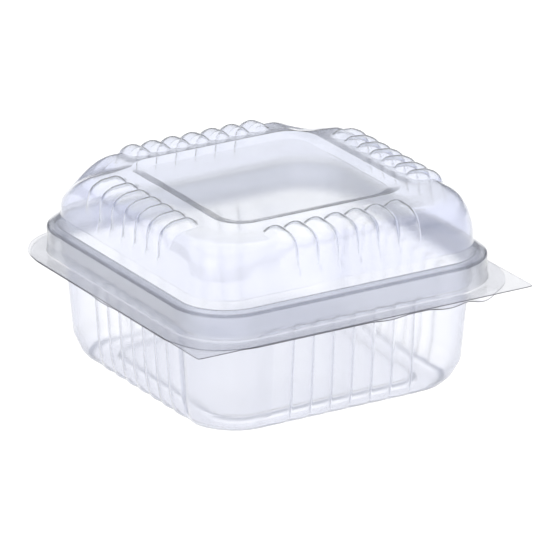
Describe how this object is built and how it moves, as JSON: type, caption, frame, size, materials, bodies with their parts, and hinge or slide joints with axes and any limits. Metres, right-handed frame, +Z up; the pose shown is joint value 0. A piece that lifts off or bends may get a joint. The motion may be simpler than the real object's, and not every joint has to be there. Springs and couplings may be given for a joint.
{
  "type": "hinged clear plastic food container",
  "caption": "Empty square clear plastic takeaway box: fluted tray and domed fluted lid with a sunk top panel, joined by a living hinge at the back.",
  "frame": {"origin": "on the table under the middle of the closed container", "axes": "+Z up; the front, where the lid opens and has its two sharp tabs, faces -Y; the hinge runs along X at the back, +Y"},
  "size_m": [0.13, 0.13, 0.0703],
  "materials": {
    "clear_sheet": "clear thermoformed sheet, glossy on both faces, with a faint cool tint"
  },
  "bodies": {
    "base": {"base_tray": "clear_sheet", "hinge_fold": "clear_sheet"},
    "lid": {"lid": "clear_sheet"}
  },
  "joints": [
    {"name": "lid_hinge", "type": "hinge", "parent": "base", "child": "lid", "pos_m": [0, 0.06465, 0.0378], "axis": [-1, 0, 0], "range_deg": [0, 180]}
  ]
}
